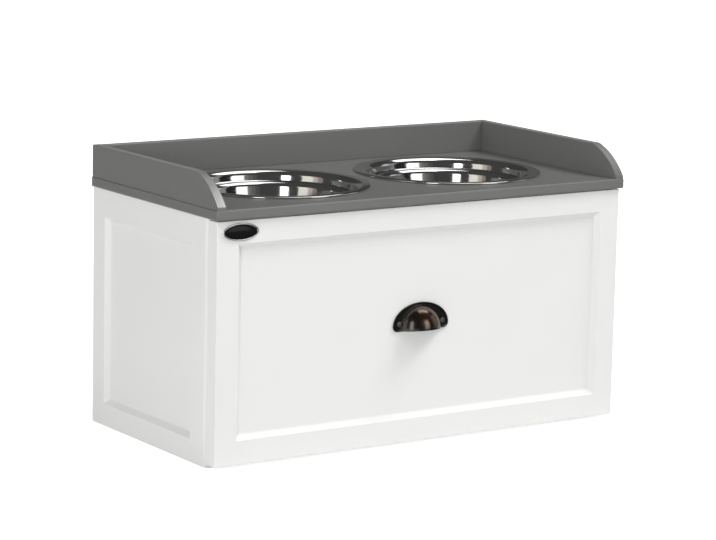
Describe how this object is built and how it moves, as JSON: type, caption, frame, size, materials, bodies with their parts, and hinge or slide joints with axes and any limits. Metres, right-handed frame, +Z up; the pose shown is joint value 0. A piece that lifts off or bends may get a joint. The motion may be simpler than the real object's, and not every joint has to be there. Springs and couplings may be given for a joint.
{
  "type": "elevated dog feeder with storage",
  "caption": "Low storage cabinet with a full-width drawer, a galleried gray top and lift-out steel bowls for feeding a dog at a raised height.",
  "frame": {"origin": "middle of the footprint on the floor, drawer closed", "axes": "+X across the width to the right of someone facing the drawer, -Y out of the drawer front, +Z up"},
  "size_m": [0.603, 0.3154, 0.3525],
  "materials": {
    "gray_paint": "satin gray paint on fibreboard",
    "white_paint": "satin white paint on fibreboard",
    "hardboard": "bare brown hardboard",
    "birch": "bare birch",
    "zinc": "zinc plated",
    "rail_coating": "white epoxy powder coat",
    "nylon": "natural white nylon",
    "bronze": "dark antique bronze, rubbed",
    "badge_chrome": "bright chrome",
    "badge_black": "gloss black",
    "bowl_steel": "polished stainless steel",
    "pull_screw_steel": "dull nickel plate"
  },
  "bodies": {
    "cabinet": {"tabletop": "gray_paint", "left_gallery": "gray_paint", "right_gallery": "gray_paint", "back_gallery": "gray_paint", "gallery_dowels": "birch", "left_side_panel": "white_paint", "right_side_panel": "white_paint", "bottom_panel": "white_paint", "back_panel": "hardboard", "front_stretcher": "white_paint", "rear_stretcher": "white_paint", "cabinet_cam_locks": "zinc", "cabinet_cam_bolts": "zinc", "cabinet_dowels": "birch", "left_cabinet_rail": "rail_coating", "right_cabinet_rail": "rail_coating", "cabinet_rail_screws": "zinc", "cabinet_roller_axles": "zinc"},
    "drawer": {"drawer_front": "white_paint", "drawer_left_side": "white_paint", "drawer_right_side": "white_paint", "drawer_back": "white_paint", "drawer_bottom": "hardboard", "drawer_cam_locks": "zinc", "drawer_cam_bolts": "zinc", "drawer_box_screws": "zinc", "left_drawer_rail": "rail_coating", "right_drawer_rail": "rail_coating", "drawer_rail_screws": "zinc", "drawer_roller_axles": "zinc", "cup_pull": "bronze", "pull_screws": "pull_screw_steel", "badge_bezel": "badge_chrome", "badge_face": "badge_black"},
    "left_front_roller": {"left_front_roller": "nylon"},
    "right_front_roller": {"right_front_roller": "nylon"},
    "left_rear_roller": {"left_rear_roller": "nylon"},
    "right_rear_roller": {"right_rear_roller": "nylon"},
    "left_bowl": {"left_bowl": "bowl_steel"},
    "right_bowl": {"right_bowl": "bowl_steel"}
  },
  "joints": [
    {"name": "drawer_slide", "type": "slide", "parent": "cabinet", "child": "drawer", "axis": [0, -1, 0], "range_m": [0, 0.19]},
    {"name": "left_front_roller_turn", "type": "hinge", "parent": "cabinet", "child": "left_front_roller", "pos_m": [-0.2758, -0.10525, 0.04525], "axis": [1, 0, 0], "range_deg": [-5, 1000]},
    {"name": "right_front_roller_turn", "type": "hinge", "parent": "cabinet", "child": "right_front_roller", "pos_m": [0.2758, -0.10525, 0.04525], "axis": [1, 0, 0], "range_deg": [-5, 1000]},
    {"name": "left_rear_roller_turn", "type": "hinge", "parent": "drawer", "child": "left_rear_roller", "pos_m": [-0.2758, 0.11475, 0.044], "axis": [1, 0, 0], "range_deg": [-5, 1030]},
    {"name": "right_rear_roller_turn", "type": "hinge", "parent": "drawer", "child": "right_rear_roller", "pos_m": [0.2758, 0.11475, 0.044], "axis": [1, 0, 0], "range_deg": [-5, 1030]},
    {"name": "left_bowl_lift", "type": "slide", "parent": "cabinet", "child": "left_bowl", "axis": [0, 0, 1], "range_m": [0, 0.1]},
    {"name": "right_bowl_lift", "type": "slide", "parent": "cabinet", "child": "right_bowl", "axis": [0, 0, 1], "range_m": [0, 0.1]}
  ],
  "couplings": [
    {"joint": "left_front_roller_turn", "follows": "drawer_slide", "rad_per_m": 90.909},
    {"joint": "right_front_roller_turn", "follows": "drawer_slide", "rad_per_m": 90.909},
    {"joint": "left_rear_roller_turn", "follows": "drawer_slide", "rad_per_m": 93.458},
    {"joint": "right_rear_roller_turn", "follows": "drawer_slide", "rad_per_m": 93.458}
  ]
}
